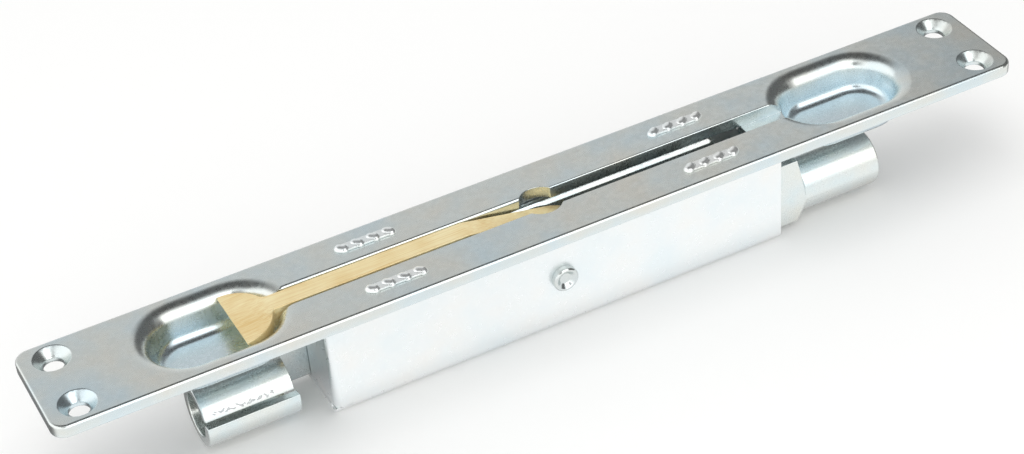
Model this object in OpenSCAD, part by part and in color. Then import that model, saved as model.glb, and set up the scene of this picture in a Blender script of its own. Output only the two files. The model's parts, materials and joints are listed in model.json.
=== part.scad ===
// Flush lever bolt, double throw. A face plate with two pressed finger recesses
// carries a folded case. A lever on a pin through the case turns two pinions,
// and each pinion drives a sheet-metal slide with a rolled rod socket, so both
// slides leave the case together when the lever is swung over.
// Origin: centre of the four screw holes, on the back of the face plate.
// +X runs along the plate, +Z points out of the face, -Y is the near side.

/* [Face plate] */
// Length of the face plate
plate_l = 240; // [225:1:300]
// Width of the face plate
plate_w = 28; // [27.5:0.5:40]
// Thickness of the face plate
plate_t = 3; // [2.5:0.1:4]
// Corner radius of the face plate, seen from the front
plate_corner_r = 3.5; // [1.5:0.5:6]
// Rounding of the face plate's front edge
plate_edge_r = 0.8; // [0.3:0.1:1.2]

/* [Screw holes] */
// Distance from the screw holes to the ends of the face plate
screw_end_x = 7.3; // [6:0.1:10]
// Distance from the screw holes to the long edges of the face plate
screw_edge_y = 5.85; // [5.5:0.05:8]
// Diameter of the screw holes
screw_d = 4.6; // [3.5:0.1:5.5]
// Diameter of the countersinks at the front
countersink_d = 8.5; // [7:0.1:10]

/* [Finger recesses] */
// Length of each recess at its mouth
recess_l = 36.5; // [32:0.5:38]
// Width of each recess at its mouth
recess_w = 25; // [22:0.5:25.5]
// Distance from the middle of the plate to the middle of each recess
recess_x = 79.5; // [79:0.25:84]
// Depth of each recess below the front
recess_depth = 8; // [7:0.25:9]
// Slope of the recess walls
recess_slope = 75; // [68:1:80]
// Rounding at the mouth of each recess
recess_mouth_r = 4; // [3:0.25:4.5]
// Rounding at the floor of each recess
recess_floor_r = 2.5; // [1.5:0.25:3]
// Thickness of the drawn sheet at the floor of each recess
recess_sheet_t = 1.8; // [1.2:0.1:2.4]

/* [Lever slot] */
// Width of the slot that the lever swings through
slot_w = 6.1; // [5.6:0.1:7]
// Diameter of the round opening over the pivot
slot_hole_d = 10; // [8:0.5:12]
// Distance from the middle of the plate to the stop at the slot's right end
slot_stop_x = 54.5; // [54.5:0.1:56]
// Depth of the pressed groove between the stop and the right recess
groove_depth = 3.3; // [3.3:0.05:3.6]
// Thickness of the pressed sheet under the groove
groove_sheet_t = 2.4; // [1.6:0.1:2.6]
// Height of the slot's lowest edge over the floor of the left recess
slot_foot = 0.4; // [0.2:0.1:1.5]

/* [Case] */
// Length of the case
case_l = 116; // [114:1:118]
// Depth of the case behind the face plate
case_h = 27; // [26.6:0.1:30]
// Sheet thickness of the case
case_t = 1.5; // [1:0.1:1.6]
// Outer radius of the folds along the bottom of the case
case_fold_r = 2; // [1.6:0.1:3]
// Depth at which the folded ends of the case start
case_end_drop = 4.2; // [4:0.1:6]
// Slit between each folded end and the floor of the case
case_end_slit = 0.2; // [0.1:0.05:0.5]
// Radius of the relief notch at each folded end
case_notch_r = 0.9; // [0.5:0.1:1.2]

/* [Staked tabs] */
// Distance from the middle to the middle of each tab, along the plate
tab_x = 39.7; // [34:0.1:44]
// Length of each tab in the face plate
tab_l = 13; // [10:0.5:15]
// Length of each staked head
tab_head_l = 14.6; // [12:0.1:17]
// Width of each staked head
tab_head_w = 3.2; // [2.8:0.1:3.6]
// Height of the staked heads over the front
tab_head_h = 1.1; // [0.8:0.1:1.3]
// Chisel ridges on each staked head
tab_ridges = 4; // [3:1:6]
// Radius of each chisel ridge
tab_ridge_r = 1.3; // [1.2:0.05:1.5]
// Lean of the ridges from the length of the plate
tab_ridge_lean = 36; // [20:1:60]

/* [Pivot] */
// Distance of the pivot below the middle of the case's hollow
pivot_offset = 0.25; // [0:0.05:0.4]
// Diameter of the pivot pin
pin_d = 5; // [4:0.1:5.4]
// Diameter of the pin's dished head
pin_head_d = 6.2; // [6:0.1:8]
// Height of the pin's dished head over the case
pin_head_h = 1.6; // [1:0.1:2.5]
// Height of the pin's closed end over the far side of the case
pin_tail_h = 0.9; // [0.5:0.1:1.5]

/* [Lever] */
// Thickness of the lever, across the slot
lever_t = 5; // [4:0.1:5.2]
// Gap between the lever's hub and the case floor
hub_floor_gap = 0.5; // [0.3:0.1:1]
// Distance from the pivot to the place where the arm dips to the hub
arm_dip_x = 19; // [17:0.5:22]
// Depth of the arm at the thumb piece
arm_h = 5.4; // [4.5:0.1:6]
// Depth of the arm where it meets the hub's neck
arm_root_h = 6.8; // [6:0.1:8]
// Distance from the pivot to the place where the arm meets the hub's neck
arm_root_x = 31; // [28:0.5:34]
// Distance from the pivot to the thumb piece's outer edge
thumb_x = 75; // [73:0.5:76]
// Radius of the half-round thumb piece
thumb_r = 8.75; // [8:0.25:10]
// Drop of the thumb piece's top below the plate's front at its outer edge
thumb_fall = 0.8; // [0.5:0.1:1.5]
// Drop of the thumb piece's top below the plate's front at the arm
thumb_step = 0.45; // [0.2:0.05:0.5]
// Length of the gable in which the arm's top runs out on the thumb piece
thumb_gable_l = 5; // [3:0.5:6]
// Thickness of the thumb piece at its outer edge
thumb_edge_t = 0.9; // [0.6:0.1:1.5]
// Swing of the lever
lever_swing = 150; // [150:0.5:150.5]

/* [Drive] */
// Least width of a slide's strip behind its rack, which sets the size of the pinions
rack_back = 2.4; // [2.2:0.1:3]
// Teeth of each pinion
pinion_teeth = 12; // [12:2:14]
// Pressure angle of the teeth
pressure_angle = 25; // [22:0.5:25]
// Play between the tooth flanks
backlash = 0.3; // [0.2:0.05:0.45]
// Distance from the hub's rim to the rim of each pinion's flange
flange_inset = 1.4; // [1.2:0.1:1.6]
// Diameter of the rivets that join flanges and lever
rivet_d = 2; // [1.5:0.1:2.4]
// Distance from the flange's rim to the middle of each rivet
rivet_inset = 1.4; // [1.3:0.1:1.6]
// Thickness of the thrust washers
washer_t = 0.3; // [0.2:0.05:0.35]
// Outer diameter of the thrust washers
washer_d = 10; // [8:0.5:12]

/* [Slides] */
// Sheet thickness of the slides
slide_t = 2; // [1.6:0.1:2.4]
// Distance from the middle to the outer end of each rod socket
socket_end_x = 87; // [86:0.5:90]
// Length of each rod socket
socket_l = 21; // [16:0.5:22]
// Height of the rod sockets' lowest line over the level of the case's bottom
socket_rise = 0.3; // [0:0.1:0.6]
// Distance from the middle to the inner end of each slide
slide_tail_x = 48.8; // [45:0.1:54]
// Depth of the slide's top edge in the case
slide_top = 2.3; // [2:0.1:2.6]
// Depth of the slide's top edge where it passes under a recess
slide_low_top = 7.5; // [7.4:0.1:9]
// Distance from the middle to the step in the slide's top edge
slide_step_x = 43; // [41:0.5:43]
// Length of the neck between the strip and the rolled socket
neck_l = 2.6; // [1.5:0.1:4]
// Width of the seam in each rolled socket
seam_w = 1.4; // [0.4:0.1:1.8]
// Height by which the seam's lower edge stands proud
seam_proud = 0.7; // [0:0.1:0.9]
// Distance that the seam's lower edge reaches past the socket's inner end
seam_reach = 0.8; // [0:0.1:1.5]
// Angle of the seam above the horizontal
seam_angle = 16; // [0:1:40]
// Radius of the slides' rounded corners
slide_corner_r = 1.6; // [0.5:0.1:2.2]

/* [Fits] */
// Gap between a slide and the case wall, and between a slide and a folded end
slide_play = 0.3; // [0.2:0.05:0.5]
// Gap between a slide and the case floor
slide_floor_play = 0.3; // [0.2:0.05:0.5]
// Gap between a pinion's flange and a slide
flange_play = 0.2; // [0.1:0.05:0.3]
// Radial clearance of the turning parts on the pivot pin
pin_play = 0.05; // [0.03:0.01:0.1]
// Clearance of the tabs in the face plate
tab_play = 0.05; // [0.03:0.01:0.1]

/* [Hidden] */
$fn = 48;
// Length by which a cutter stands out of what it cuts
cut = 1;
// Overlap where a cutter ends level with a face
skin = 0.01;
// Thickness of the slices that a hull is spanned between
slice = 0.1;
// Overlap of a tooth with the body that carries it
tooth_root = 0.2;

// Positions across the case, from the middle outwards
lever_half = lever_t / 2;
flange_t = 2.4;
flange_out = lever_half + flange_t;
slide_in = flange_out + flange_play;
slide_out = slide_in + slide_t;
wall_in = slide_out + slide_play;
wall_out = wall_in + case_t;
washer_gap = 0.05;
pinion_out = wall_in - washer_t - washer_gap;

// Levels in the case, as depths below the back of the face plate
case_floor = case_h - case_t;
pivot_depth = case_floor / 2 + pivot_offset;
slide_bottom = case_floor - slide_floor_play;

// Drive geometry. The strip behind the near rack is the narrow one, and the rack's
// roots lie 1.25 modules over its pitch line, so both together set the pitch radius.
root_modules = 1.25;
pitch_r = (pivot_depth - slide_top - rack_back) / (1 + 2 * root_modules / pinion_teeth);
bolt_travel = pitch_r * lever_swing * PI / 180;
hub_r = case_floor - pivot_depth - hub_floor_gap;
flange_r = hub_r - flange_inset;
rivet_x = flange_r - rivet_inset;
tooth_pitch = 2 * PI * pitch_r / pinion_teeth;
tooth_module = tooth_pitch / PI;
addendum = 0.9 * tooth_module;
dedendum = root_modules * tooth_module;
base_r = pitch_r * cos(pressure_angle);
tip_r = pitch_r + addendum;
tip_play = 0.35;
window_play = 0.6;
window_in_x = tip_r + window_play;
window_out_x = window_in_x + bolt_travel;

// Case and slide geometry
socket_r = slide_out;
socket_depth = case_h - socket_rise - socket_r;
socket_bore_r = slide_in;
socket_start_x = socket_end_x - socket_l;
end_tab_y = slide_in - slide_play;

// Lever geometry, measured from the pivot
arm_top = pivot_depth + plate_t;
thumb_start_x = thumb_x - thumb_r;

// Recess section, measured from the middle line of its mouth
recess_half = recess_w / 2;
recess_floor_z = plate_t - recess_depth;
mouth_in = recess_mouth_r * sin(recess_slope);
mouth_drop = recess_mouth_r * (1 - cos(recess_slope));
floor_in = recess_floor_r * sin(recess_slope);
floor_rise = recess_floor_r * (1 - cos(recess_slope));
wall_drop = recess_depth - mouth_drop - floor_rise;
wall_run = wall_drop / tan(recess_slope);
recess_floor_half = recess_half - mouth_in - wall_run - floor_in;
recess_straight = recess_l - recess_w;

// Screw pattern
screw_pitch_x = plate_l - 2 * screw_end_x;
screw_pitch_y = plate_w - 2 * screw_edge_y;

// Points of an arc about (cx, cy), from angle a to angle b
function arc(cx, cy, r, a, b, n = 8) =
    [for (i = [0:n]) [cx + r * cos(a + (b - a) * i / n),
                      cy + r * sin(a + (b - a) * i / n)]];

// Angle whose tangent exceeds it, in degrees: the involute function
function inv(a) = tan(a) * 180 / PI - a;

// Half the angle that a pinion tooth fills at radius r
function tooth_half(r) =
    90 / pinion_teeth - backlash / (4 * pitch_r) * 180 / PI
    + inv(pressure_angle) - inv(acos(min(1, base_r / r)));

// A cylinder along Y, from y0 to y1
module rod_y(r, y0, y1) {
    translate([0, y1, 0]) rotate([90, 0, 0]) cylinder(r = r, h = y1 - y0);
}

// A flat shape drawn in X and Z, as thick as y0 to y1
module slab_y(y0, y1) {
    translate([0, y1, 0]) rotate([90, 0, 0]) linear_extrude(y1 - y0) children();
}

module at_pivot() {
    translate([0, 0, -pivot_depth]) children();
}

// Section of the plate's rim: the front edge is rounded as a press leaves it
module rim_section(width) {
    difference() {
        square([width, plate_t]);
        translate([width - plate_edge_r, plate_t - plate_edge_r])
            difference() {
                square(plate_edge_r + cut);
                circle(plate_edge_r);
            }
    }
}

module plate_blank() {
    cx = plate_l / 2 - plate_corner_r;
    cy = plate_w / 2 - plate_corner_r;
    for (sx = [-1, 1], sy = [-1, 1])
        translate([sx * cx, sy * cy, 0])
            rotate_extrude() rim_section(plate_corner_r);
    for (turn = [0, 180])
        rotate([0, 0, turn]) {
            translate([-cx, 0, 0]) rotate([90, 0, 90])
                linear_extrude(2 * cx) rim_section(plate_w / 2);
            translate([0, cy, 0]) rotate([90, 0, 0])
                linear_extrude(2 * cy) rim_section(plate_l / 2);
        }
}

// Half section of the hollow of a recess, from its middle line outwards
module hollow_section() {
    mouth_x = recess_half - mouth_in;
    difference() {
        union() {
            polygon([[0, plate_t + cut], [recess_half, plate_t + cut], [recess_half, plate_t],
                     [mouth_x, plate_t - mouth_drop],
                     [mouth_x - wall_run, recess_floor_z + floor_rise],
                     [recess_floor_half, recess_floor_z], [0, recess_floor_z]]);
            translate([recess_floor_half, recess_floor_z + recess_floor_r])
                circle(recess_floor_r);
        }
        translate([recess_half, plate_t - recess_mouth_r]) circle(recess_mouth_r);
    }
}

// Half section of the drawn sheet around the hollow, behind the plate
module dish_section() {
    outer_r = recess_floor_r + recess_sheet_t;
    outer_x = recess_floor_half + outer_r * sin(recess_slope);
    outer_z = recess_floor_z + recess_floor_r - outer_r * cos(recess_slope);
    brim_x = outer_x + (cut / 2 - outer_z) / tan(recess_slope);
    bottom_z = recess_floor_z - recess_sheet_t;
    polygon([[0, cut / 2], [brim_x, cut / 2], [outer_x, outer_z],
             [recess_floor_half, bottom_z], [0, bottom_z]]);
    translate([recess_floor_half, bottom_z + outer_r])
        circle(outer_r);
}

// The dish section without what would stand over the plate
module dish_section_below() {
    intersection() {
        dish_section();
        translate([0, -case_h]) square([recess_w, case_h + cut / 2]);
    }
}

// Sweeps a half section round the long outline of a recess
module recess_sweep() {
    for (side = [-1, 1])
        translate([side * recess_straight / 2, 0, 0])
            rotate([0, 0, side > 0 ? -90 : 90])
                rotate_extrude(angle = 180) children();
    for (turn = [0, 180])
        rotate([0, 0, turn])
            translate([-recess_straight / 2, 0, 0]) rotate([90, 0, 90])
                linear_extrude(recess_straight) children();
}

// One chisel ridge: a low round-ended roll across the head
module chisel_ridge(lean) {
    roll_l = (tab_head_w - 2 * tab_ridge_r) / sin(abs(lean));
    rotate([0, 0, lean]) {
        translate([-roll_l / 2, 0, 0]) rotate([0, 90, 0])
            cylinder(r = tab_ridge_r, h = roll_l);
        for (end = [-1, 1])
            translate([end * roll_l / 2, 0, 0]) sphere(tab_ridge_r);
    }
}

// One staked head: a low bar with leaning chisel ridges across it
module staked_head(side) {
    bar_h = tab_head_h / 2;
    bar_w = tab_head_w * 4 / 5;
    end_x = tab_head_l / 2 - tab_head_w / 2;
    ridge_drop = tab_ridge_r - tab_head_h;
    intersection() {
        union() {
            translate([-end_x, -bar_w / 2, 0])
                cube([2 * end_x, bar_w, bar_h]);
            for (i = [0:tab_ridges - 1])
                translate([end_x * (2 * i / (tab_ridges - 1) - 1), 0, -ridge_drop])
                    chisel_ridge(side * tab_ridge_lean);
        }
        translate([-tab_head_l, -tab_head_w, 0])
            cube([2 * tab_head_l, 2 * tab_head_w, tab_head_h + cut]);
    }
}

module face_plate() {
    groove_end_x = recess_x - recess_straight / 2 - recess_floor_half;
    color([0.70, 0.73, 0.72])
    difference() {
        union() {
            plate_blank();
            for (side = [-1, 1])
                translate([side * recess_x, 0, 0])
                    recess_sweep() dish_section_below();
            // Drawn sheet under the groove, from the stop to the recess
            translate([slot_stop_x, -slot_w / 2 - groove_sheet_t / 2,
                       plate_t - groove_depth - groove_sheet_t])
                cube([groove_end_x - slot_stop_x, slot_w + groove_sheet_t,
                      groove_depth + groove_sheet_t - plate_t + cut / 2]);
        }
        for (side = [-1, 1])
            translate([side * recess_x, 0, 0])
                recess_sweep() hollow_section();
        // Groove that the arm comes to rest in
        translate([slot_stop_x - cut, -slot_w / 2, plate_t - groove_depth])
            cube([groove_end_x - slot_stop_x + cut, slot_w, groove_depth + cut]);
        // Slot for the lever, open into the left recess
        translate([-groove_end_x, -slot_w / 2, recess_floor_z + slot_foot])
            cube([groove_end_x + slot_stop_x, slot_w, plate_t - recess_floor_z + cut]);
        translate([0, 0, -cut]) cylinder(d = slot_hole_d, h = plate_t + 2 * cut);
        for (sx = [-1, 1], sy = [-1, 1]) {
            translate([sx * screw_pitch_x / 2, sy * screw_pitch_y / 2, -cut])
                cylinder(d = screw_d, h = plate_t + 2 * cut);
            sink_h = (countersink_d - screw_d) / 2;
            translate([sx * screw_pitch_x / 2, sy * screw_pitch_y / 2, plate_t - sink_h])
                cylinder(d1 = screw_d, d2 = countersink_d + 2 * skin, h = sink_h + skin);
            // Hole for a staked tab
            translate([sx * tab_x - tab_l / 2 - tab_play,
                       sy * (wall_in + case_t / 2) - case_t / 2 - tab_play, -cut])
                cube([tab_l + 2 * tab_play, case_t + 2 * tab_play, plate_t + 2 * cut]);
        }
    }
}

// Section of the folded case: two walls and a floor with rounded folds
module case_section() {
    least_r = 0.3;
    inner_r = max(least_r, case_fold_r - case_t);
    difference() {
        union() {
            translate([-wall_out, -case_h + case_fold_r])
                square([2 * wall_out, case_h - case_fold_r]);
            translate([-wall_out + case_fold_r, -case_h])
                square([2 * (wall_out - case_fold_r), case_fold_r]);
            for (side = [-1, 1])
                translate([side * (wall_out - case_fold_r), -case_h + case_fold_r])
                    circle(case_fold_r);
        }
        translate([-wall_in, -case_floor + inner_r])
            square([2 * wall_in, case_floor + cut]);
        translate([-wall_in + inner_r, -case_floor])
            square([2 * (wall_in - inner_r), inner_r + cut]);
        for (side = [-1, 1])
            translate([side * (wall_in - inner_r), -case_floor + inner_r])
                circle(inner_r);
    }
}

// One end of the case, folded in from the near wall, seen at the left
module case_end() {
    fold_r = case_fold_r;
    end_h = case_floor - case_end_drop - case_end_slit;
    translate([-case_l / 2, -wall_out, -case_floor + case_end_slit])
        difference() {
            union() {
                translate([0, fold_r, 0])
                    cube([case_t, wall_out + end_tab_y - fold_r, end_h]);
                translate([fold_r, fold_r, 0]) cylinder(r = fold_r, h = end_h);
                translate([fold_r, 0, 0]) cube([fold_r, case_t, end_h]);
            }
            translate([case_t, case_t, -cut])
                cube([2 * fold_r, 2 * fold_r, end_h + 2 * cut]);
        }
}

module case() {
    color([0.86, 0.88, 0.88])
    difference() {
        union() {
            difference() {
                translate([-case_l / 2, 0, 0]) rotate([90, 0, 90])
                    linear_extrude(case_l) case_section();
                // Square corners make way for the rounded fold of each end
                for (turn = [0, 180])
                    rotate([0, 0, turn])
                        translate([-case_l / 2 - cut, -wall_out - cut,
                                   -case_floor + case_end_slit])
                            cube([cut + case_fold_r, case_t + 2 * cut, case_h]);
            }
            for (turn = [0, 180])
                rotate([0, 0, turn]) {
                    case_end();
                    // Wall over the folded end's lowered top edge
                    translate([-case_l / 2 + case_fold_r, -wall_out, -case_end_drop - cut])
                        cube([cut, case_t, case_end_drop + cut]);
                }
            for (sx = [-1, 1], sy = [-1, 1])
                translate([sx * tab_x, sy * (wall_in + case_t / 2), 0]) {
                    translate([-tab_l / 2, -case_t / 2, -cut])
                        cube([tab_l, case_t, plate_t + cut]);
                    translate([0, 0, plate_t]) staked_head(sx);
                }
        }
        at_pivot() rod_y(pin_d / 2, -wall_out - cut, wall_out + cut);
        // Relief notch at the foot of each folded end
        for (turn = [0, 180])
            rotate([0, 0, turn])
                translate([-case_l / 2, -wall_out + case_fold_r, -case_floor - case_end_slit])
                    rotate([0, 90, 0])
                        cylinder(r = case_notch_r, h = 2 * case_t + 2 * cut, center = true);
    }
}

// Side view of the lever, with the pivot at the origin
module lever_outline() {
    top_r = norm([arm_dip_x, arm_top]);
    touch = atan2(arm_top, -arm_dip_x) - acos(hub_r / top_r);
    root = [-arm_root_x, arm_top - arm_root_h];
    root_touch = atan2(root[1], root[0]) + acos(hub_r / norm(root));
    // The arm's end reaches into the thumb piece, down to its sloping underside
    tip_x = thumb_start_x + thumb_r / 2;
    tip_low = arm_top - (arm_h + thumb_fall + thumb_edge_t) / 2;
    circle(hub_r);
    polygon([[-tip_x, thumb_top(thumb_r)], [-thumb_start_x, thumb_top(thumb_r)],
             [-thumb_start_x, arm_top], [-arm_dip_x, arm_top],
             hub_r * [cos(touch), sin(touch)], [0, 0],
             hub_r * [cos(root_touch), sin(root_touch)],
             root, [-thumb_start_x, arm_top - arm_h], [-tip_x, tip_low]]);
}

// Level of the thumb piece's top at a distance from the arm
function thumb_top(d) = arm_top - thumb_step - (thumb_fall - thumb_step) * d / thumb_r;

// Side view of the thumb piece: thin at its outer edge, thick at the arm
module thumb_outline() {
    polygon([[-thumb_x, thumb_top(thumb_r)], [-thumb_start_x, thumb_top(0)],
             [-thumb_start_x, arm_top - arm_h],
             [-thumb_x, thumb_top(thumb_r) - thumb_edge_t]]);
}

// Gable in which the arm's top runs out on the lower top of the thumb piece
module thumb_gable() {
    low = thumb_top(thumb_r) - thumb_edge_t / 2;
    mid_half = lever_half * 9 / 5;
    // Distance from the arm, half width and top of each slice of the gable
    hull()
        for (s = [[0, lever_half, arm_top],
                  [thumb_gable_l / 2, mid_half, thumb_top(thumb_gable_l / 2)],
                  [thumb_gable_l, slice, thumb_top(thumb_gable_l)]])
            translate([-thumb_start_x - s[0], -s[1], low])
                cube([slice, 2 * s[1], s[2] - low]);
}

module lever() {
    color([0.80, 0.66, 0.36])
    at_pivot()
    difference() {
        union() {
            slab_y(-lever_half, lever_half) lever_outline();
            intersection() {
                slab_y(-thumb_r, thumb_r) thumb_outline();
                translate([-thumb_x, 0, 0]) cylinder(r = thumb_r, h = 2 * arm_top);
            }
            thumb_gable();
        }
        rod_y(pin_d / 2 + pin_play, -lever_half - cut, lever_half + cut);
        for (side = [-1, 1])
            translate([0, 0, side * rivet_x])
                rod_y(rivet_d / 2, -lever_half - cut, lever_half + cut);
    }
}

// One tooth of a pinion, pointing along the first axis
module pinion_tooth() {
    steps = 5;
    radii = [for (i = [0:steps]) base_r + (tip_r - base_r) * i / steps];
    root_r = pitch_r - dedendum;
    root_half = tooth_half(base_r);
    polygon(concat(
        [[0, 0], (root_r - tooth_root) * [cos(root_half), -sin(root_half)]],
        [for (r = radii) r * [cos(tooth_half(r)), -sin(tooth_half(r))]],
        [for (i = [steps:-1:0]) radii[i] * [cos(tooth_half(radii[i])), sin(tooth_half(radii[i]))]],
        [(root_r - tooth_root) * [cos(root_half), sin(root_half)]]));
}

// A pinion with its flange, on the far side; side = -1 gives the near one
module pinion(side) {
    color([0.72, 0.74, 0.76])
    at_pivot()
    rotate([0, 0, side > 0 ? 0 : 180])
    difference() {
        union() {
            rod_y(flange_r, lever_half, flange_out);
            slab_y(flange_out - slice, pinion_out) {
                circle(pitch_r - dedendum);
                for (i = [0:pinion_teeth - 1])
                    rotate(90 + i * 360 / pinion_teeth) pinion_tooth();
            }
        }
        rod_y(pin_d / 2 + pin_play, 0, wall_out);
        for (end = [-1, 1])
            translate([0, 0, end * rivet_x])
                rod_y(rivet_d / 2, 0, wall_out);
    }
}

module near_pinion() {
    pinion(-1);
}

module far_pinion() {
    pinion(1);
}

// A rivet through both flanges and the lever; end = 1 is the upper one
module drive_rivet(end) {
    color([0.75, 0.75, 0.77])
    at_pivot() translate([0, 0, end * rivet_x])
        rod_y(rivet_d / 2, -flange_out, flange_out);
}

module upper_drive_rivet() {
    drive_rivet(1);
}

module lower_drive_rivet() {
    drive_rivet(-1);
}

// The pin has a dished head on the near side and a closed end on the far side
module pivot_pin() {
    bevel = 0.35;
    dish_d = pin_head_d - 4 * bevel;
    dish_floor_d = dish_d * 5 / 9;
    dish_depth = 0.9;
    color([0.78, 0.80, 0.80])
    at_pivot()
    difference() {
        union() {
            rod_y(pin_d / 2, -wall_out, wall_out);
            rod_y(pin_head_d / 2, -wall_out - pin_head_h + bevel, -wall_out);
            translate([0, -wall_out - pin_head_h + bevel, 0]) rotate([90, 0, 0])
                cylinder(r1 = pin_head_d / 2, r2 = pin_head_d / 2 - bevel, h = bevel);
            rod_y(pin_head_d / 2, wall_out, wall_out + pin_tail_h - bevel);
            translate([0, wall_out + pin_tail_h - bevel, 0]) rotate([-90, 0, 0])
                cylinder(r1 = pin_head_d / 2, r2 = pin_head_d / 2 - bevel, h = bevel);
        }
        translate([0, -wall_out - pin_head_h + dish_depth, 0]) rotate([90, 0, 0])
            cylinder(d1 = dish_floor_d, d2 = dish_d, h = dish_depth + skin);
    }
}

// A washer between the far pinion and the case; side = -1 gives the near one
module thrust_washer(side) {
    color([0.70, 0.70, 0.72])
    at_pivot()
    rotate([0, 0, side > 0 ? 0 : 180])
    difference() {
        rod_y(washer_d / 2, wall_in - washer_t, wall_in);
        rod_y(pin_d / 2 + pin_play, 0, wall_out);
    }
}

module near_thrust_washer() {
    thrust_washer(-1);
}

module far_thrust_washer() {
    thrust_washer(1);
}

// Teeth of a rack along X, pointing down to the pitch line at the origin
module rack_teeth(x0, x1) {
    half = tooth_pitch / 4 - backlash / 4;
    lean = tan(pressure_angle);
    for (k = [ceil((x0 + half) / tooth_pitch - 0.5):floor((x1 - half) / tooth_pitch - 0.5)])
        translate([(k + 0.5) * tooth_pitch, 0])
            polygon([[-half - lean * (dedendum + tooth_root), dedendum + tooth_root],
                     [-half + lean * addendum, -addendum],
                     [half - lean * addendum, -addendum],
                     [half + lean * (dedendum + tooth_root), dedendum + tooth_root]]);
}

// A slab with its two left or right corners rounded, from (x0, z0) to (x1, z1)
module tail_slab(x0, x1, z0, z1, r) {
    translate([x0 + r, z0]) square([x1 - x0 - r, z1 - z0]);
    translate([x0, z0 + r]) square([r + cut, z1 - z0 - 2 * r]);
    for (z = [z0 + r, z1 - r])
        translate([x0 + r, z]) circle(r);
}

// Side view of the near slide's flat part; its rack hangs over the pinion
module slide_outline(rack) {
    step_r = slide_corner_r;
    pitch_z = -pivot_depth + rack * pitch_r;
    rack_root_z = pitch_z + rack * dedendum;
    free_z = -pivot_depth - rack * (tip_r + tip_play);
    difference() {
        union() {
            tail_slab(-slide_tail_x, slide_step_x - step_r, -slide_bottom, -slide_top,
                      slide_corner_r);
            translate([slide_step_x - step_r - cut, -slide_bottom])
                square([step_r + cut, slide_bottom - slide_top - step_r]);
            translate([slide_step_x - step_r, -slide_top - step_r]) circle(step_r);
            translate([0, -slide_bottom])
                square([socket_start_x - neck_l + slice, slide_bottom - slide_low_top]);
        }
        difference() {
            translate([-window_out_x, min(rack_root_z, free_z)])
                square([window_out_x + window_in_x, abs(rack_root_z - free_z)]);
            translate([0, pitch_z]) mirror([0, rack > 0 ? 0 : 1])
                rack_teeth(-window_out_x, window_in_x);
        }
    }
}

// Body of the neck in which the flat strip runs into the round socket
module neck_body(r, y_in, y_out, z_low, z_high) {
    hull() {
        translate([socket_start_x - neck_l, -y_out, z_low])
            cube([slice, y_out - y_in, z_high - z_low]);
        translate([socket_start_x, 0, -socket_depth]) rotate([0, 90, 0])
            cylinder(r = r, h = slice);
    }
}

// The neck is an open trough: its sheet follows the strip and half the socket
module neck() {
    difference() {
        neck_body(socket_r, slide_in, slide_out, -slide_bottom, -slide_low_top);
        neck_body(socket_bore_r, slide_in - cut, slide_in,
                  -slide_bottom - slide_t, -slide_low_top + slide_t);
        translate([socket_start_x - neck_l - cut, -slide_in / 2, -case_h - cut])
            cube([neck_l + 2 * cut, 2 * socket_r, case_h]);
    }
}

// A slide on the near side, leaving the case at the right
module slide(rack) {
    difference() {
        union() {
            slab_y(-slide_out, -slide_in) slide_outline(rack);
            neck();
            translate([socket_start_x, 0, -socket_depth]) rotate([0, 90, 0])
                cylinder(r = socket_r, h = socket_l);
            // The seam's lower edge stands proud, on the side away from the strip
            intersection() {
                translate([socket_start_x - seam_reach, seam_proud, -socket_depth])
                    rotate([0, 90, 0]) cylinder(r = socket_r, h = socket_l + seam_reach);
                translate([0, seam_proud, -socket_depth]) rotate([seam_angle, 0, 0])
                    translate([0, 0, -2 * socket_r])
                        cube([2 * socket_end_x, 2 * socket_r, 2 * socket_r]);
            }
        }
        translate([socket_start_x - cut - seam_reach, 0, -socket_depth])
            rotate([0, 90, 0])
                cylinder(r = socket_bore_r, h = socket_l + seam_reach + 2 * cut);
        translate([socket_start_x - cut - seam_reach, 0, -socket_depth])
            rotate([seam_angle, 0, 0])
                translate([0, 0, -seam_w / 2])
                    cube([socket_l + seam_reach + 2 * cut, 2 * socket_r, seam_w]);
    }
}

module near_slide() {
    color([0.80, 0.83, 0.84]) slide(1);
}

module far_slide() {
    color([0.80, 0.83, 0.84]) rotate([0, 0, 180]) slide(-1);
}

face_plate();
case();
lever();
near_pinion();
far_pinion();
upper_drive_rivet();
lower_drive_rivet();
pivot_pin();
near_thrust_washer();
far_thrust_washer();
near_slide();
far_slide();
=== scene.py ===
# %% [markdown]
# A flush lever bolt for a door leaf. A zinc-plated face plate carries a folded
# steel case, and a brass lever lies flush in the plate's slot. When the lever is
# swung over, two sheet-metal slides leave the case at both ends, and each one
# pushes a rod in its rolled socket. The construction comes finished from the
# frame, so this lesson gives every surface its metal and its light.

# %% The frame
import json
import math

import bmesh
import bpy
from mathutils import Euler, Matrix, Vector

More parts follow.
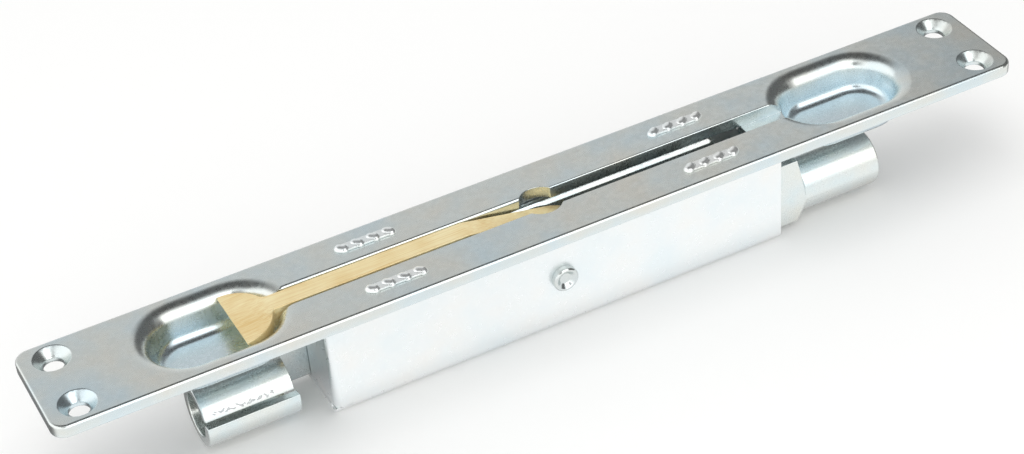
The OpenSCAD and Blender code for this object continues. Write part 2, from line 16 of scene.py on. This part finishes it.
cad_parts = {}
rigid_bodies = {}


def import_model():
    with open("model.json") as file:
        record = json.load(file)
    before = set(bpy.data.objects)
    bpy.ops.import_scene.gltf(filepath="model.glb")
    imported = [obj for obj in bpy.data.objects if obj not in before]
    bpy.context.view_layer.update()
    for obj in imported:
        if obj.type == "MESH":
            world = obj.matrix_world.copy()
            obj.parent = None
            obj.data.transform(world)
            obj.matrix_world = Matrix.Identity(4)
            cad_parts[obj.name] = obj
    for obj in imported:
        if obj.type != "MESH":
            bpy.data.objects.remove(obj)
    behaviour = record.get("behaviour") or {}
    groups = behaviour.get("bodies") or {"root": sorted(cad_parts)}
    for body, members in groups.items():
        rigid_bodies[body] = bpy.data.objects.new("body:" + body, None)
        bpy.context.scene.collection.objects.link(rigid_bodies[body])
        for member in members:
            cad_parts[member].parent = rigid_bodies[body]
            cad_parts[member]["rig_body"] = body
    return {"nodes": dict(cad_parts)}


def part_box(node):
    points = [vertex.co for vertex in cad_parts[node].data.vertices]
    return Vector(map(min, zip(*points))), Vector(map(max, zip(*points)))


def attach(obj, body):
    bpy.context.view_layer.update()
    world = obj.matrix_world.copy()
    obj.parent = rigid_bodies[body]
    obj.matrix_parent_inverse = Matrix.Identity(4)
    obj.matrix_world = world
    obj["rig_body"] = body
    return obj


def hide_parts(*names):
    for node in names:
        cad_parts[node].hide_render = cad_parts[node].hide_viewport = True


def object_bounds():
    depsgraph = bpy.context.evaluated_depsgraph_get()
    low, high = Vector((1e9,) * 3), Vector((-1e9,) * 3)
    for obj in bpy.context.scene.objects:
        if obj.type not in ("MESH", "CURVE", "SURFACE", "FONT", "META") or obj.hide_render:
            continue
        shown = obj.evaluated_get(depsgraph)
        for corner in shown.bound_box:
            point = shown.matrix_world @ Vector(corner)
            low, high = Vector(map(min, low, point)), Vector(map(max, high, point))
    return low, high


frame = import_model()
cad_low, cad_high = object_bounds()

MM = 0.001
NODES = frame["nodes"]
print("CAD nodes:", ", ".join(sorted(NODES)))
print("size in mm:", [round(v / MM, 1) for v in cad_high - cad_low])

# %% [markdown]
# The camera looks down on the plate from the near left. Its place and turn were
# worked out from the plate's corners and holes. The lens is a long one, as it is
# for a catalogue picture, so the far end of the plate is only a little smaller.

# %% Camera
CAMERA_PLACE = Vector((-179.6, -375.5, 321.5)) * MM
CAMERA_TURN = [math.radians(a) for a in (51.871, 3.989, -27.734)]
CAMERA_LENS = 82.33
CAMERA_SENSOR = 36

camera_data = bpy.data.cameras.new("camera")
camera_data.lens = CAMERA_LENS
camera_data.sensor_width = CAMERA_SENSOR
camera_data.clip_start = 0.01
camera_data.clip_end = 20
camera = bpy.data.objects.new("camera", camera_data)
camera.location = CAMERA_PLACE
camera.rotation_euler = Euler(CAMERA_TURN)
bpy.context.scene.collection.objects.link(camera)
bpy.context.scene.camera = camera
bpy.context.scene.view_settings.view_transform = "Standard"
print("camera to plate in mm:", round(CAMERA_PLACE.length / MM))

# %% [markdown]
# Every material, the world and the geometry trees are made of nodes. One small
# function adds a node, sets its values, links its inputs and, on a colour ramp,
# sets the stops. Another turns an sRGB hex value into the linear values that
# Blender computes with, a third makes a grey of a given strength, and the last
# turns a size in mm into a texture scale.

# %% Node and colour helpers
def add_node(tree, kind, inputs=None, stops=(), **settings):
    node = tree.nodes.new(kind)
    for name, value in settings.items():
        setattr(node, name, value)
    for socket, value in (inputs or {}).items():
        if isinstance(value, bpy.types.NodeSocket):
            tree.links.new(value, node.inputs[socket])
        else:
            node.inputs[socket].default_value = value
    if stops:
        ramp = node.color_ramp.elements
        ramp.remove(ramp[1])
        ramp[0].position, ramp[0].color = stops[0]
        for place, colour in stops[1:]:
            ramp.new(place).color = colour
    return node


def linear(hex_colour):
    parts = [int(hex_colour[i:i + 2], 16) / 255 for i in (1, 3, 5)]
    return [p / 12.92 if p < 0.04045 else ((p + 0.055) / 1.055) ** 2.4 for p in parts] + [1]


def grey(strength):
    return [strength] * 3 + [1]


def per_mm(size_mm):
    return 1 / (size_mm * MM)


print("plate grey in linear values:", [round(v, 3) for v in linear("#d4dad8")])

# %% [markdown]
# Bare metal has hardly any colour of its own: it shows the room. A room could be
# built from big lit boards, but a world that answers by direction is quicker to
# tune. From this camera the flat plate mirrors the far side at about 40 degrees
# over the floor, its rounded edges mirror the ceiling, and the walls mirror the
# near side. The world works out that angle around the plate's long axis, and a
# ramp gives it a brightness: a grey far wall, a dark ceiling, a bright near
# softbox. A softbox stands at the left, a dark wall at the right, and the dark
# camera in front of the near softbox, as the countersinks show.

# %% World
WORLD_EVEN = 0.8
WORLD_PEAK = 2.6
# Angle round the plate's long axis from the far horizon, in degrees: brightness
STUDIO_RING = [(0, 1.0), (22, 0.80), (42, 0.82), (56, 0.45), (66, 0.10), (106, 0.08),
               (119, 1.30), (130, 2.60), (158, 2.40), (172, 1.40), (180, 1.10)]
# Part of the direction along X where it starts, where it is full, brightness
LEFT_SOFTBOX = (-0.42, -0.62, 1.5)
RIGHT_WALL = (0.46, 0.62, 0.14)
# Cosine of the angle to the camera where its dark shape starts, where it is
# full, brightness
CAMERA_SHAPE = (0.955, 0.985, 0.15)

world = bpy.data.worlds.new("studio")
bpy.context.scene.world = world
world.use_nodes = True
sky = world.node_tree
sky.nodes.clear()
direction = add_node(sky, "ShaderNodeTexCoord").outputs["Generated"]
axes = add_node(sky, "ShaderNodeSeparateXYZ", {0: direction})
turn = add_node(sky, "ShaderNodeMath", {0: axes.outputs["Z"], 1: axes.outputs["Y"]},
                operation="ARCTAN2")
half_turn = add_node(sky, "ShaderNodeMath", {0: turn.outputs[0], 1: math.pi},
                     operation="DIVIDE")
ring = add_node(sky, "ShaderNodeValToRGB", {"Fac": half_turn.outputs[0]}, stops=[
    (degrees / 180, grey(strength / WORLD_PEAK)) for degrees, strength in STUDIO_RING])
mirrored = add_node(sky, "ShaderNodeMath", {0: ring.outputs["Color"], 1: WORLD_PEAK},
                    operation="MULTIPLY").outputs[0]
to_camera = add_node(sky, "ShaderNodeVectorMath", {
    0: direction, 1: CAMERA_PLACE.normalized()}, operation="DOT_PRODUCT").outputs["Value"]
for where, (start, full, strength) in ((axes.outputs["X"], LEFT_SOFTBOX),
                                       (axes.outputs["X"], RIGHT_WALL),
                                       (to_camera, CAMERA_SHAPE)):
    inside = add_node(sky, "ShaderNodeMapRange", {
        "Value": where, "From Min": start, "From Max": full}, interpolation_type="SMOOTHSTEP")
    mirrored = add_node(sky, "ShaderNodeMix", {
        0: inside.outputs["Result"], 2: mirrored, 3: strength}, data_type="FLOAT").outputs[0]
print("brightness around the plate:", STUDIO_RING)

# %% [markdown]
# Only a ray that comes from metal should find that room: matt surfaces look best
# in even light, and the camera should see a white ground. The Light Path node
# tells the rays apart. Light that was mirrored more than once, as in the recesses
# and the slot, comes from a more even room, so that these don't go black.

# %% World for each kind of ray
# Ray depth that a background finds after one and after two mirrorings
DEPTH_ONCE = 2.0
DEPTH_TWICE = 3.0
# Brightness that light mirrored more than once tends to, and by how much
HOLLOW_LIGHT = 1.3
HOLLOW_SHARE = 0.75


def ray_from_metal(tree, path):
    either = add_node(tree, "ShaderNodeMath", {
        0: path.outputs["Is Glossy Ray"], 1: path.outputs["Is Transmission Ray"]},
        operation="MAXIMUM")
    return either.outputs[0]


path = add_node(sky, "ShaderNodeLightPath")
again = add_node(sky, "ShaderNodeMapRange", {
    "Value": path.outputs["Ray Depth"], "From Min": DEPTH_ONCE, "From Max": DEPTH_TWICE,
    "To Max": HOLLOW_SHARE})
mirrored = add_node(sky, "ShaderNodeMix", {
    0: again.outputs["Result"], 2: mirrored, 3: HOLLOW_LIGHT}, data_type="FLOAT").outputs[0]
around = add_node(sky, "ShaderNodeMix", {
    0: ray_from_metal(sky, path), 2: WORLD_EVEN, 3: mirrored}, data_type="FLOAT")
seen = add_node(sky, "ShaderNodeMix", {
    0: path.outputs["Is Camera Ray"], 2: around.outputs[0], 3: 1.0}, data_type="FLOAT")
background = add_node(sky, "ShaderNodeBackground", {
    "Color": linear("#ffffff"), "Strength": seen.outputs[0]})
add_node(sky, "ShaderNodeOutputWorld", {"Surface": background.outputs[0]})
print("world nodes:", len(sky.nodes))

# %% [markdown]
# The floor is a sheet of white paper. The camera sees it as a matt sheet with the
# object's soft shadow. In the metal it glows by its place instead, with painted
# light and a painted shadow: bright on the near side, and darker under the object
# and behind it. A matt sheet alone would do, but this way the light and dark
# parts of the sockets and of the case's wall can be set by a ramp.

# %% Floor
# Length of a side in metres
FLOOR_SIZE = 6.0
PAPER_IN_METAL = 1.18
# Place across the plate in mm: how bright the paper is there in the metal, as painted light and
# painted shadow
PAINTED_PAPER_SHADE = [(-200, 1.0), (-16, 1.0), (-3, 0.42), (10, 0.18), (60, 0.25), (200, 0.75)]


def empty_material(name):
    material = bpy.data.materials.new(name)
    material.use_nodes = True
    material.node_tree.nodes.clear()
    return material, material.node_tree


half = FLOOR_SIZE / 2
floor_mesh = bpy.data.meshes.new("floor")
floor_mesh.from_pydata([(x, y, cad_low.z) for x, y in
                        ((-half, -half), (half, -half), (half, half), (-half, half))],
                       [], [(0, 1, 2, 3)])
floor = bpy.data.objects.new("floor", floor_mesh)
bpy.context.scene.collection.objects.link(floor)

paper, tree = empty_material("white_paper")
matt = add_node(tree, "ShaderNodeBsdfDiffuse", {"Color": linear("#f8f8f7")})
across = add_node(tree, "ShaderNodeSeparateXYZ", {
    0: add_node(tree, "ShaderNodeTexCoord").outputs["Object"]}).outputs["Y"]
near_mm, far_mm = PAINTED_PAPER_SHADE[0][0], PAINTED_PAPER_SHADE[-1][0]
share = add_node(tree, "ShaderNodeMapRange", {
    "Value": across, "From Min": near_mm * MM, "From Max": far_mm * MM})
shade = add_node(tree, "ShaderNodeValToRGB", {"Fac": share.outputs["Result"]}, stops=[
    ((place - near_mm) / (far_mm - near_mm), grey(part)) for place, part in PAINTED_PAPER_SHADE])
# The paper's glow in the metal carries the painted light and the painted shadow
glow = add_node(tree, "ShaderNodeEmission", {
    "Color": shade.outputs["Color"], "Strength": PAPER_IN_METAL})
from_metal = ray_from_metal(tree, add_node(tree, "ShaderNodeLightPath"))
sheet = add_node(tree, "ShaderNodeMixShader", {
    0: from_metal, 1: matt.outputs[0], 2: glow.outputs[0]})
add_node(tree, "ShaderNodeOutputMaterial", {"Surface": sheet.outputs[0]})
floor_mesh.materials.append(paper)
print("floor at", round(cad_low.z / MM, 2), "mm")

# %% [markdown]
# Two softboxes light the matt surfaces and give the floor its soft shadow. They
# are area lamps, because a sun or a point draws a shadow with a hard edge. The
# metal doesn't see them, since the world already holds what it mirrors.

# %% Lamps
# Name, place in mm, width and height in mm, power in watts
LAMPS = [("overhead_softbox", (-150, -60, 900), 800, 600, 2.5),
         ("near_softbox", (-350, -900, 500), 800, 500, 1.5)]

for name, place, width, height, power in LAMPS:
    lamp = bpy.data.lights.new(name, "AREA")
    lamp.shape = "RECTANGLE"
    lamp.size = width * MM
    lamp.size_y = height * MM
    lamp.energy = power
    holder = bpy.data.objects.new(name, lamp)
    holder.location = Vector(place) * MM
    holder.rotation_euler = (-holder.location).to_track_quat("-Z", "Y").to_euler()
    holder.visible_glossy = False
    bpy.context.scene.collection.objects.link(holder)
print("lamps:", [lamp[0] for lamp in LAMPS])

# %% [markdown]
# Zinc plating is a thin, slightly cloudy metal coat. It gives the eye a cool
# grey with faint blue and straw tints, soft reflections and a very fine grain
# from the rolled sheet under it. A photograph of plated sheet could be laid over
# the pieces, but noise has no seams: the tints are wide patches, the roughness
# changes in specks, and the grain is a fine bump. The grain is drawn a little
# coarser than it is, so that it shows. The same function makes plain steel.

# %% Rolled steel
# Noise lies between these two nearly everywhere
NOISE_LOW = 0.3
NOISE_HIGH = 0.7
GRAIN_MM = 0.35
GRAIN_DEEP_MM = 0.02
SPECK_MM = 1.2
CLOUD_MM = 14
# How far a speck is smoother or rougher than the roughness asked for
SMOOTHER = 0.04
ROUGHER = 0.06


def rolled_steel(name, hex_cool, hex_colour, hex_warm, roughness, grain=0.12, metallic=1.0,
                 hex_painted_reflection=None, painted_reflection_mm=None):
    material, tree = empty_material(name)
    place = add_node(tree, "ShaderNodeTexCoord").outputs["Object"]
    cloud = add_node(tree, "ShaderNodeTexNoise", {
        "Vector": place, "Scale": per_mm(CLOUD_MM), "Detail": 3.0, "Roughness": 0.55})
    tint = add_node(tree, "ShaderNodeValToRGB", {"Fac": cloud.outputs["Fac"]}, stops=[
        (0.30, linear(hex_cool)), (0.5, linear(hex_colour)), (0.72, linear(hex_warm))])
    colour = tint.outputs["Color"]
    if hex_painted_reflection:
        # Painted reflection: lower down, the colour turns to a pale blue that stands in for what
        # the recess floors mirror
        height = add_node(tree, "ShaderNodeSeparateXYZ", {0: place}).outputs["Z"]
        painted_reflection_share = add_node(tree, "ShaderNodeMapRange", {
            "Value": height, "From Min": painted_reflection_mm[1] * MM, "From Max": painted_reflection_mm[0] * MM})
        colour = add_node(tree, "ShaderNodeMix", {
            0: painted_reflection_share.outputs["Result"], 6: colour, 7: linear(hex_painted_reflection)},
            data_type="RGBA").outputs[2]
    speck = add_node(tree, "ShaderNodeTexNoise", {
        "Vector": place, "Scale": per_mm(SPECK_MM), "Detail": 4.0, "Roughness": 0.6})
    rough = add_node(tree, "ShaderNodeMapRange", {
        "Value": speck.outputs["Fac"], "From Min": NOISE_LOW, "From Max": NOISE_HIGH,
        "To Min": roughness - SMOOTHER, "To Max": roughness + ROUGHER})
    rolled = add_node(tree, "ShaderNodeTexNoise", {
        "Vector": place, "Scale": per_mm(GRAIN_MM), "Detail": 2.0, "Roughness": 0.5})
    bump = add_node(tree, "ShaderNodeBump", {
        "Height": rolled.outputs["Fac"], "Strength": grain, "Distance": GRAIN_DEEP_MM * MM})
    metal = add_node(tree, "ShaderNodeBsdfPrincipled", {
        "Base Color": colour, "Metallic": metallic,
        "Roughness": rough.outputs["Result"], "Normal": bump.outputs["Normal"]})
    add_node(tree, "ShaderNodeOutputMaterial", {"Surface": metal.outputs[0]})
    print(name, "roughness about", roughness)
    return material


# %% [markdown]
# Each kind of piece has its own colours and roughness; the case's paler and the
# slides' brighter colour are painted light, lighter copies of the same plating.
# All of them are metal and keep the default IOR.

# %% Plated and plain steel
# Cool grey on the face, and a pale blue painted down in the recesses as a painted reflection
zinc_plate = rolled_steel("zinc_plated_pressed_plate", "#cbd9de", "#d4dad8", "#d9d8d0", 0.27,
                          hex_painted_reflection="#d8e6ec", painted_reflection_mm=(-3, 1.5))
# Paler and with less grain: the large wall looks almost white, and the paler
# colour is painted light. A share of matt light keeps its inside from going black
zinc_case = rolled_steel("zinc_plated_folded_case", "#e4ecee", "#eaeeee", "#ededea", 0.30,
                         grain=0.05, metallic=0.85)
# Brighter and smoother, for the clear bands of light along the rolled sockets:
# the brighter colour is painted light. It has the same share of matt light
zinc_slide = rolled_steel("zinc_plated_rolled_slide", "#cfdfe3", "#dbe1df", "#e1e1d8", 0.24,
                          metallic=0.85)
# A warmer grey with the sharpest lights, as a turned face has
zinc_pin = rolled_steel("zinc_plated_turned_pin", "#c8d0d2", "#d4d7d2", "#dbd7c8", 0.22)
# Darker and duller than plating: the drive inside, and the tool's marks, where the darkness is
# painted shade of the dents
plain_steel = rolled_steel("plain_steel", "#adb3b8", "#b4b7b9", "#b9b7b1", 0.34)

# %% [markdown]
# The lever is brass, ground along its length on a belt. That leaves fine lines
# in one direction, so light spreads across them into a soft band, and the rough
# bottoms of the lines scatter about half of it as a matt surface does. So the
# brass looks pale and even, with streaks of deeper yellow. The lines are noise
# that is pulled out along X. They are drawn about a fifth of a millimetre apart,
# coarser than a belt leaves them, so that they show. Wider patches of noise keep
# the long arm from looking all the same.

# %% Belt-ground brass
LINE_MM = 0.22
LINE_LONG_MM = 12
LINE_DEEP_MM = 0.03
LINE_STRENGTH = 0.35
PATCH_MM = 9
# Part of the lines in the tone, with the patches as the rest
LINE_SHARE = 0.6
METAL_SHARE = 0.5
SMOOTHEST = 0.34
ROUGHEST = 0.46


def ground_brass():
    material, tree = empty_material("brushed_brass")
    place = add_node(tree, "ShaderNodeTexCoord").outputs["Object"]
    along = add_node(tree, "ShaderNodeMapping", {
        "Vector": place, "Scale": (per_mm(LINE_LONG_MM), per_mm(LINE_MM), per_mm(LINE_MM))})
    lines = add_node(tree, "ShaderNodeTexNoise", {
        "Vector": along.outputs[0], "Scale": 1.0, "Detail": 3.0, "Roughness": 0.65})
    patches = add_node(tree, "ShaderNodeTexNoise", {
        "Vector": place, "Scale": per_mm(PATCH_MM), "Detail": 3.0, "Roughness": 0.5})
    tone = add_node(tree, "ShaderNodeMix", {
        0: LINE_SHARE, 2: patches.outputs["Fac"], 3: lines.outputs["Fac"]}, data_type="FLOAT")
    tint = add_node(tree, "ShaderNodeValToRGB", {"Fac": tone.outputs[0]}, stops=[
        (0.36, linear("#e8c888")), (0.62, linear("#fff2c4"))])
    rough = add_node(tree, "ShaderNodeMapRange", {
        "Value": lines.outputs["Fac"], "From Min": NOISE_LOW, "From Max": NOISE_HIGH,
        "To Min": SMOOTHEST, "To Max": ROUGHEST})
    bump = add_node(tree, "ShaderNodeBump", {
        "Height": lines.outputs["Fac"], "Strength": LINE_STRENGTH,
        "Distance": LINE_DEEP_MM * MM})
    metal = add_node(tree, "ShaderNodeBsdfPrincipled", {
        "Base Color": tint.outputs["Color"], "Metallic": METAL_SHARE,
        "Roughness": rough.outputs["Result"], "Normal": bump.outputs["Normal"]})
    add_node(tree, "ShaderNodeOutputMaterial", {"Surface": metal.outputs[0]})
    return material


brass = ground_brass()
print("brass lines", LINE_MM, "mm apart")

# %% [markdown]
# No edge of sheet metal is sharp. Where a press tool enters the sheet it draws
# the edge down into a wide round, and such rounds catch the light as a dark and
# a white line side by side. A Bevel modifier gives all the edges of a piece the
# same number of facets, so these few edges are rounded first, in the copy's own
# mesh. Each function below tells from an edge's middle whether it is one of them.

# %% Edges that are rounder than the rest
# Two places closer than this count as level
LEVEL = 0.05 * MM
# Limits to search within, from the plate's middle: for the slot's rim, for the
# round opening over the pivot, and for the back of a slide's rack
RIM_WITHIN_X = 62 * MM
RIM_WITHIN_Y = 5.1 * MM
OPENING_WITHIN_X = 6 * MM
RACK_WITHIN_Y = 5.2 * MM


def on_top(at, low, high):
    return at.z > high.z - LEVEL


def on_socket_end(at, low, high):
    return abs(at.x - low.x) < LEVEL or abs(at.x - high.x) < LEVEL


def on_far_slot_rim(at, low, high):
    return on_top(at, low, high) and abs(at.x) < RIM_WITHIN_X and 0 < at.y < RIM_WITHIN_Y


def beside_open_slot(at, low, high):
    return on_far_slot_rim(at, low, high) and at.x > OPENING_WITHIN_X


def beside_arm(at, low, high):
    return on_far_slot_rim(at, low, high) and at.x < -OPENING_WITHIN_X


def on_rack_back(at, low, high):
    return on_top(at, low, high) and abs(at.y) < RACK_WITHIN_Y


# Node: how to tell the edge, rounding in mm, number of facets
ROUNDER = {
    "near_slide": [(on_rack_back, 0.85, 1), (on_socket_end, 0.4, 3)],
    "far_slide": [(on_rack_back, 0.85, 1), (on_socket_end, 0.4, 3)],
    "face_plate": [(beside_open_slot, 0.35, 3), (beside_arm, 0.9, 5)],
}
print("rounder edges on:", ", ".join(ROUNDER))

# %% [markdown]
# The slides' upper edges are sheared, which leaves one slanting face and no
# round. Through the slot that face shows as a bright bar, because it mirrors the
# near softbox. For that it has to slant a little more than 45 degrees.

# %% Rounding a set of edges
# An edge where the faces turn by more than this is a corner
EDGE_ANGLE = math.radians(32)
# How much lower a slanting face ends, as a part of its width
SHEAR_DROP = 0.2


def edge_middle(edge):
    return (edge.verts[0].co + edge.verts[1].co) / 2


def is_corner(edge):
    return len(edge.link_faces) == 2 and edge.calc_face_angle() > EDGE_ANGLE


def round_edges(work, low, high, belongs, width_mm, facets):
    edges = [edge for edge in work.edges
             if is_corner(edge) and belongs(edge_middle(edge), low, high)]
    made = bmesh.ops.bevel(work, geom=edges, offset=width_mm * MM, offset_type="OFFSET",
                           segments=facets, profile=0.5, affect="EDGES", clamp_overlap=False)
    if facets == 1:
        lowest = min(vert.co.z for vert in made["verts"])
        for vert in made["verts"]:
            if vert.co.z < lowest + LEVEL:
                vert.co.z -= SHEAR_DROP * width_mm * MM
    return len(edges)


print("a sheared edge drops by", SHEAR_DROP, "of its width more")

# %% [markdown]
# The frame's meshes are loose triangles, so a copy has its points merged first.
# A Bevel modifier breaks all the corners that are left, as tumbling and plating
# do, and Weighted Normal keeps the large faces flat in the light. Where edges of
# the thumb piece's low gable meet, a bevel leaves dark creases, so these edges
# stay sharp instead. Each copy stands for its node.

# %% A dressed copy of a node
# Points closer than this are one point. The lever's gable ends in slivers
MERGE_MM = 0.04
LEVER_MERGE_MM = 0.12
FLAT_ANGLE = math.radians(0.5)
FLAT_WEIGHT = 90
# Reach of the gable from the lever's outer end, from the middle of the thumb
# piece's straight edge, and its lowest level
GABLE_REACH = 9 * MM
GABLE_RADIUS = 8.3 * MM
GABLE_LOW_Z = 1.5 * MM


def on_gable(at, low):
    from_edge = Vector((at.x - low.x, at.y))
    return from_edge.x < GABLE_REACH and at.z > GABLE_LOW_Z and from_edge.length < GABLE_RADIUS


def mark_edges(work, low, has_gable):
    weights = work.edges.layers.float.new("bevel_weight_edge")
    for edge in work.edges:
        if not is_corner(edge):
            continue
        if has_gable and on_gable(edge_middle(edge), low):
            edge.smooth = False
        else:
            edge[weights] = 1


def dressed_copy(node_name, material, edge_mm):
    is_lever = node_name == "lever"
    merge_mm = LEVER_MERGE_MM if is_lever else MERGE_MM
    low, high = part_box(node_name)
    work = bmesh.new()
    work.from_mesh(NODES[node_name].data)
    bmesh.ops.remove_doubles(work, verts=work.verts, dist=merge_mm * MM)
    bmesh.ops.dissolve_limit(work, angle_limit=FLAT_ANGLE, verts=work.verts, edges=work.edges)
    for belongs, width_mm, facets in ROUNDER.get(node_name, []):
        count = round_edges(work, low, high, belongs, width_mm, facets)
        print(" ", node_name, count, "edges rounded by", width_mm, "mm")
    mark_edges(work, low, is_lever)
    mesh = bpy.data.meshes.new(node_name + "_dressed")
    work.to_mesh(mesh)
    work.free()
    mesh.materials.clear()
    mesh.materials.append(material)
    for face in mesh.polygons:
        face.use_smooth = True
    piece = bpy.data.objects.new(node_name + "_dressed", mesh)
    bpy.context.scene.collection.objects.link(piece)
    bevel = piece.modifiers.new("edge_break", "BEVEL")
    bevel.width = edge_mm * MM
    bevel.segments = 2
    bevel.limit_method = "WEIGHT"
    bevel.use_clamp_overlap = False
    flat = piece.modifiers.new("flat_faces", "WEIGHTED_NORMAL")
    flat.mode = "FACE_AREA"
    flat.weight = FLAT_WEIGHT
    flat.keep_sharp = True
    return piece


print("points merged within", MERGE_MM, "mm, on the lever", LEVER_MERGE_MM, "mm")

# %% [markdown]
# This table is the whole object: what each piece is made of, how far its edges
# are broken, and which material of the record it stands for. Thin and small
# pieces get the smaller breaks, or the break would eat their walls.

# %% Dressed pieces
# Node: material, edge break in mm, record slot
DRESS = {
    "face_plate": (zinc_plate, 0.16, "zinc_plated_plate"),
    "case": (zinc_case, 0.10, "zinc_plated_case"),
    "lever": (brass, 0.15, "brass_lever"),
    "near_slide": (zinc_slide, 0.12, "zinc_plated_slide"),
    "far_slide": (zinc_slide, 0.12, "zinc_plated_slide"),
    "pivot_pin": (zinc_pin, 0.08, "zinc_plated_pin"),
    "near_pinion": (plain_steel, 0.06, "plain_steel"),
    "far_pinion": (plain_steel, 0.06, "plain_steel"),
    "upper_drive_rivet": (plain_steel, 0.05, "plain_steel"),
    "lower_drive_rivet": (plain_steel, 0.05, "plain_steel"),
    "near_thrust_washer": (plain_steel, 0.03, "plain_steel"),
    "far_thrust_washer": (plain_steel, 0.03, "plain_steel"),
}

for node_name, (material, edge_mm, slot) in DRESS.items():
    piece = dressed_copy(node_name, material, edge_mm)
    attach(piece, NODES[node_name]["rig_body"])
    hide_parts(node_name)
    print(piece.name, len(piece.data.polygons), "faces")

# %% [markdown]
# Each socket is rolled from flat sheet, and the tool that presses its seam down
# leaves a row of small marks beside it. They could be a bump in the material,
# but real relief also shows in the exported mesh. They repeat, so one Geometry
# Nodes tree makes them: a line of points, each moved a little at random, with
# one small flattened bead on every point, half of it sunk in the sheet. Hollows
# would have to be cut out of the slide, and at this size look much the same.

# %% Tree for the roller marks
# Named inputs of the tree and their values, with the row lying along X
MARKS = {"Count": 34, "Length": 14.5 * MM, "Spread": 0.45 * MM, "Size": 0.19 * MM, "Seed": 7}
WHOLE_NUMBERS = ("Count", "Seed")
BEAD_SHAPE = (2.2, 1.0, 0.45)
BEAD_SEGMENTS = 10
BEAD_RINGS = 6
# Turn to either side about the sheet's normal, in radians
BEAD_TURN = 0.9


def roller_mark_tree(material):
    tree = bpy.data.node_groups.new("roller_marks", "GeometryNodeTree")
    for name, value in MARKS.items():
        kind = "NodeSocketInt" if name in WHOLE_NUMBERS else "NodeSocketFloat"
        socket = tree.interface.new_socket(name, in_out="INPUT", socket_type=kind)
        socket.default_value = value
    tree.interface.new_socket("Geometry", in_out="OUTPUT", socket_type="NodeSocketGeometry")
    given = add_node(tree, "NodeGroupInput").outputs
    gap = add_node(tree, "ShaderNodeMath", {0: given["Length"], 1: given["Count"]},
                   operation="DIVIDE")
    step = add_node(tree, "ShaderNodeCombineXYZ", {0: gap.outputs[0]})
    start = add_node(tree, "ShaderNodeMath", {0: given["Length"], 1: -0.5}, operation="MULTIPLY")
    first = add_node(tree, "ShaderNodeCombineXYZ", {0: start.outputs[0]})
    line = add_node(tree, "GeometryNodeMeshLine", {
        "Count": given["Count"], "Start Location": first.outputs[0], "Offset": step.outputs[0]})
    least = add_node(tree, "ShaderNodeVectorMath", {0: (-1, -1, 0), 3: given["Spread"]},
                     operation="SCALE")
    most = add_node(tree, "ShaderNodeVectorMath", {0: (1, 1, 0), 3: given["Spread"]},
                    operation="SCALE")
    moved = add_node(tree, "FunctionNodeRandomValue", {
        0: least.outputs[0], 1: most.outputs[0], "Seed": given["Seed"]},
        data_type="FLOAT_VECTOR")
    points = add_node(tree, "GeometryNodeSetPosition", {
        "Geometry": line.outputs[0], "Offset": moved.outputs[0]})
    bead = add_node(tree, "GeometryNodeMeshUVSphere", {
        "Segments": BEAD_SEGMENTS, "Rings": BEAD_RINGS, "Radius": given["Size"]})
    flattened = add_node(tree, "GeometryNodeTransform", {
        "Geometry": bead.outputs[0], "Scale": BEAD_SHAPE})
    turned = add_node(tree, "FunctionNodeRandomValue", {
        0: (0, 0, -BEAD_TURN), 1: (0, 0, BEAD_TURN), "Seed": given["Seed"]},
        data_type="FLOAT_VECTOR")
    placed = add_node(tree, "GeometryNodeInstanceOnPoints", {
        "Points": points.outputs[0], "Instance": flattened.outputs[0],
        "Rotation": turned.outputs[0]})
    solid = add_node(tree, "GeometryNodeRealizeInstances", {0: placed.outputs[0]})
    # Plain steel makes the beads dark: painted shade, for the shade inside the dents
    dark = add_node(tree, "GeometryNodeSetMaterial", {
        "Geometry": solid.outputs[0], "Material": material})
    add_node(tree, "NodeGroupOutput", {0: dark.outputs[0]})
    return tree


mark_tree = roller_mark_tree(plain_steel)
print("beads in a row:", MARKS["Count"])

# %% [markdown]
# The row is made flat at the origin, then laid on the far slide's socket beside
# the seam. The near slide is the same part turned by half a turn, so its row is
# too. The modifier's result becomes a plain mesh before it rides on its body.

# %% Roller marks
# Angle of the row over the horizontal, seen from the socket's axis, and the
# distance from the socket's outer end to the middle of the row
MARK_ANGLE = math.radians(31)
MARKS_FROM_END = 9.8 * MM
SLIDE_TURN = {"far_slide": 0, "near_slide": math.pi}


def row_of_marks(name):
    source = bpy.data.objects.new(name, bpy.data.meshes.new(name))
    bpy.context.scene.collection.objects.link(source)
    modifier = source.modifiers.new("roller_marks", "NODES")
    modifier.node_group = mark_tree
    for socket in mark_tree.interface.items_tree:
        if socket.in_out == "INPUT":
            modifier[socket.identifier] = MARKS[socket.name]
    bpy.context.view_layer.update()
    ready = source.evaluated_get(bpy.context.evaluated_depsgraph_get())
    mesh = bpy.data.meshes.new_from_object(ready)
    bpy.data.objects.remove(source)
    return mesh


slide_low, slide_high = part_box("far_slide")
socket_radius = slide_high.y
out = Vector((0, -math.cos(MARK_ANGLE), math.sin(MARK_ANGLE))) * socket_radius
out += Vector((slide_low.x + MARKS_FROM_END, 0, slide_low.z + socket_radius))
lie = Matrix.Translation(out) @ Matrix.Rotation(math.pi / 2 - MARK_ANGLE, 4, "X")
for node_name, turn_z in SLIDE_TURN.items():
    mesh = row_of_marks("marks")
    mesh.transform(Matrix.Rotation(turn_z, 4, "Z") @ lie)
    marks = bpy.data.objects.new(node_name + "_roller_marks", mesh)
    bpy.context.scene.collection.objects.link(marks)
    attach(marks, NODES[node_name]["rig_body"])
    print(marks.name, len(mesh.polygons), "faces")
